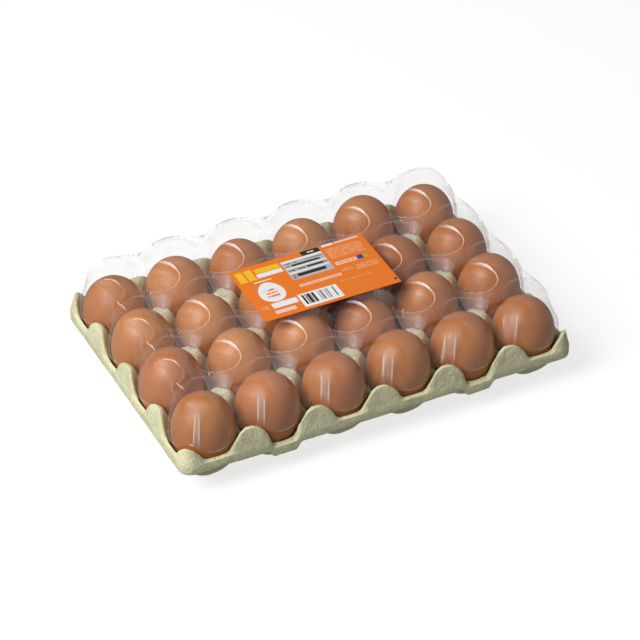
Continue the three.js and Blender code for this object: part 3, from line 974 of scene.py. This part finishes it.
def shoulder_out(along, dome_out):
    """Where the outer wall starts to fall, by the place along its side."""
    share = math.cos(math.pi / 2 * min(along / HALF, 1.0)) ** SHOULDER_BLUNTNESS
    return mix(WEB_SHOULDER, dome_out, share)


def well_height(x, y):
    """The nearest well's height; its middle leans back steadily from its foot to its rim."""
    away_x, away_y = HALF - abs(x), y - math.copysign(HALF, y)
    foot, rim = WELL[0][1], CROWN[-1][1]
    z = on_profile(WELL, math.hypot(away_x, away_y))
    for _ in range(LEAN_ROUNDS):  # closes in on the height at which the leaning well is here
        lean = WELL_LEAN * min((z - foot) / (rim - foot), 1.0)
        z = softened(WELL, math.hypot(away_x, away_y - lean), WELL_SOFTENING)
    return z


def lid_height(x, y, cup):
    outer_x, outer_y = cup.outer(x, y)
    distance = math.hypot(x, y)
    crown = softened(CROWN, distance, CROWN_SOFTENING)
    side = "right" if x > 0 else "left"
    if outer_x and outer_y:
        shoulder = mix(SHOULDER["corner"], SHOULDER[side], (x / distance) ** 2)
        drop = (distance - shoulder) / (KNEE - shoulder)
    elif outer_x or outer_y:
        out, along = (abs(x), abs(y)) if outer_x else (abs(y), abs(x))
        if outer_y:
            side = "corner" if cup.edge_x else "long"
        shoulder = shoulder_out(along, SHOULDER[side])
        drop = (out - shoulder) / (knee_out(along, False)[1] - shoulder)
    else:
        return soft_min(crown, well_height(x, y), LID_BLEND)
    return soft_min(crown, on_profile(FLANK, drop), LID_BLEND)


def lid_place(x, y, cup):
    def round_radius(ring):
        last = LID_RINGS[-1][0]
        return on_profile(LID_RINGS, ring), max(0.0, (ring - last) / (1 - last))

    def edge_place(major, minor, swapped):
        outer = cup.outer(*((minor, major) if swapped else (major, minor)))
        beside, ahead = outer if swapped else outer[::-1]
        if ahead:
            along, out = knee_out(abs(minor) * HALF, beside)
            return major * out, math.copysign(along, minor)
        return major * HALF, minor * (GROOVE_OUT if beside else HALF)

    px, py = ring_place(x / HALF, y / HALF, round_radius, edge_place)
    return Vector((cup.x + px, cup.y + py, lid_height(px, py, cup)))


def lid_mesh():
    """The lid's upper face, down to its hem."""
    bm, lattice = cup_grid(LID_STEPS, lid_place)

    def hem(share):
        def moved(vert):
            cup = Cup(vert[lattice].x, vert[lattice].y)
            middle = Vector((cup.x, cup.y))
            along = min(abs(c) for c in vert[lattice].xy - middle)
            z = HEM_Z + HEM_RISE * (along / HALF) ** HEM_BLUNTNESS
            out = (vert.co.xy - middle).normalized() * HEM_FLARE
            return Vector((*(vert.co.xy + out), mix(vert.co.z, z, share)))

        return moved

    for share in HEM_SHARES:
        extrude_edge(bm, hem(share))
    facing_up(bm)
    return bm


def make_lid(material):
    lid = finish_mesh(lid_mesh(), "clear_lid", [material])
    add_wall(lid, "film_wall", FILM)
    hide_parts("lid")
    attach(lid, "root")


# ---- Eggs ----
def make_egg(row, column, material):
    """An egg as wide and high as its solid, fuller towards its top."""
    node = f"egg_{row + 1}_{column + 1}"
    low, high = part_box(node)
    low, high = low / MM, high / MM
    middle = (low + high) / 2
    radius, half = (high.x - low.x) / 2, (high.z - low.z) / 2
    bm = bmesh.new()
    bmesh.ops.create_uvsphere(bm, u_segments=EGG_SEGMENTS, v_segments=EGG_RINGS, radius=1)
    for vert in bm.verts:
        width = radius * (1 + EGG_TAPER * vert.co.z)
        vert.co = middle + Vector((vert.co.x * width, vert.co.y * width, vert.co.z * half))
    egg = finish_mesh(bm, f"brown_egg_{row + 1}_{column + 1}", [material])
    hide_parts(node)
    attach(egg, "root")


# ---- Label ----
LABEL_STEPS = (40, 24)


def make_label():
    low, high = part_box("label")
    low, high = low / MM, high / MM
    size, middle = (high - low) / 2, (high + low) / 2
    bm = bmesh.new()
    bmesh.ops.create_grid(bm, x_segments=LABEL_STEPS[0], y_segments=LABEL_STEPS[1], size=1)
    bmesh.ops.scale(bm, vec=(size.x, size.y, 1), verts=bm.verts)
    bmesh.ops.translate(bm, vec=(middle.x, middle.y, high.z), verts=bm.verts)
    facing_up(bm)
    bmesh.ops.solidify(bm, geom=bm.faces, thickness=high.z - low.z)
    label = finish_mesh(bm, "printed_label", [label_material(low, high)], smooth=False)
    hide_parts("label")
    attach(label, "root")


# ---- Room ----
FLOOR_HALF = 6000.0
FLOOR_GLOW = 0.73
# The room is dimmer for the soft fill than the white walls that the film mirrors.
FILL = 0.225
WALLS = 0.36

# Directions are in degrees: to the right of the pack's front, and up. Lengths are in metres.
KEY_AZIMUTH, KEY_ELEVATION = -79, 46
KEY_DISTANCE, KEY_SIZE, KEY_AIM_Z = 1.8, 1.1, 0.04
KEY_POWER = 34
CAMERA_AZIMUTH, CAMERA_ELEVATION, CAMERA_ROLL = -26.743, 37.947, 0.385
CAMERA_DISTANCE, CAMERA_AIM_Z = 2.2, 0.038
CAMERA_OFFSET = (0.00127, -0.00466)  # to the right, and up
CAMERA_LENS = 182.27
SENSOR = 36


def make_floor():
    bm = bmesh.new()
    bmesh.ops.create_grid(bm, x_segments=1, y_segments=1, size=FLOOR_HALF)
    material, _, _ = new_material(
        "pale_floor",
        Base_Color=(0.35, 0.35, 0.35, 1),
        Roughness=0.9,
        Emission_Color=(1, 1, 1, 1),
        Emission_Strength=FLOOR_GLOW,
    )
    floor = finish_mesh(bm, "floor", [material])
    floor.visible_diffuse = False
    floor.visible_glossy = False


def towards(azimuth, elevation):
    a, e = math.radians(azimuth), math.radians(elevation)
    return Vector((math.sin(a) * math.cos(e), -math.cos(a) * math.cos(e), math.sin(e)))


def make_key_light():
    lamp = bpy.data.lights.new("key", "AREA")
    lamp.shape = "SQUARE"
    lamp.size = KEY_SIZE
    lamp.energy = KEY_POWER
    light = bpy.data.objects.new("key", lamp)
    way = towards(KEY_AZIMUTH, KEY_ELEVATION)
    light.location = way * KEY_DISTANCE + Vector((0, 0, KEY_AIM_Z))
    light.rotation_euler = way.to_track_quat("Z", "Y").to_euler()
    bpy.context.scene.collection.objects.link(light)


def make_camera():
    lens = bpy.data.cameras.new("camera")
    lens.lens = CAMERA_LENS
    lens.sensor_width = SENSOR
    camera = bpy.data.objects.new("camera", lens)
    bpy.context.scene.collection.objects.link(camera)
    bpy.context.scene.camera = camera
    back = towards(CAMERA_AZIMUTH, CAMERA_ELEVATION)
    angle, roll = math.radians(CAMERA_AZIMUTH), math.radians(CAMERA_ROLL)
    right = Vector((math.cos(angle), math.sin(angle), 0))
    up = back.cross(right)
    side = right * math.cos(roll) + up * math.sin(roll)
    top = up * math.cos(roll) - right * math.sin(roll)
    place = Vector((0, 0, CAMERA_AIM_Z)) + back * CAMERA_DISTANCE
    place += right * CAMERA_OFFSET[0] + up * CAMERA_OFFSET[1]
    turn = Matrix((side, top, back)).transposed()
    camera.matrix_world = Matrix.Translation(place) @ turn.to_4x4()


def make_room():
    scene = bpy.context.scene
    world = bpy.data.worlds.new("studio")
    world.use_nodes = True
    background = world.node_tree.nodes["Background"]
    background.inputs["Color"].default_value = (1, 1, 1, 1)
    nodes = Nodes(world.node_tree)
    mirrored = nodes.add("ShaderNodeLightPath").outputs["Is Glossy Ray"]
    strength = nodes.math("MULTIPLY_ADD", mirrored, WALLS - FILL, FILL)
    nodes.set(background.inputs["Strength"], strength)
    scene.world = world
    scene.view_settings.view_transform = "Standard"
    scene.cycles.transparent_max_bounces = 40
    make_floor()
    make_key_light()
    make_camera()


make_room()
make_tray(pulp_material())
shells = {tone: shell_material(tone) for tone in SHELL_TONES}
for row in range(ROWS):
    for column in range(COLUMNS):
        make_egg(row, column, shells[EGG_TONES[row][column]])
make_lid(film_material())
make_label()
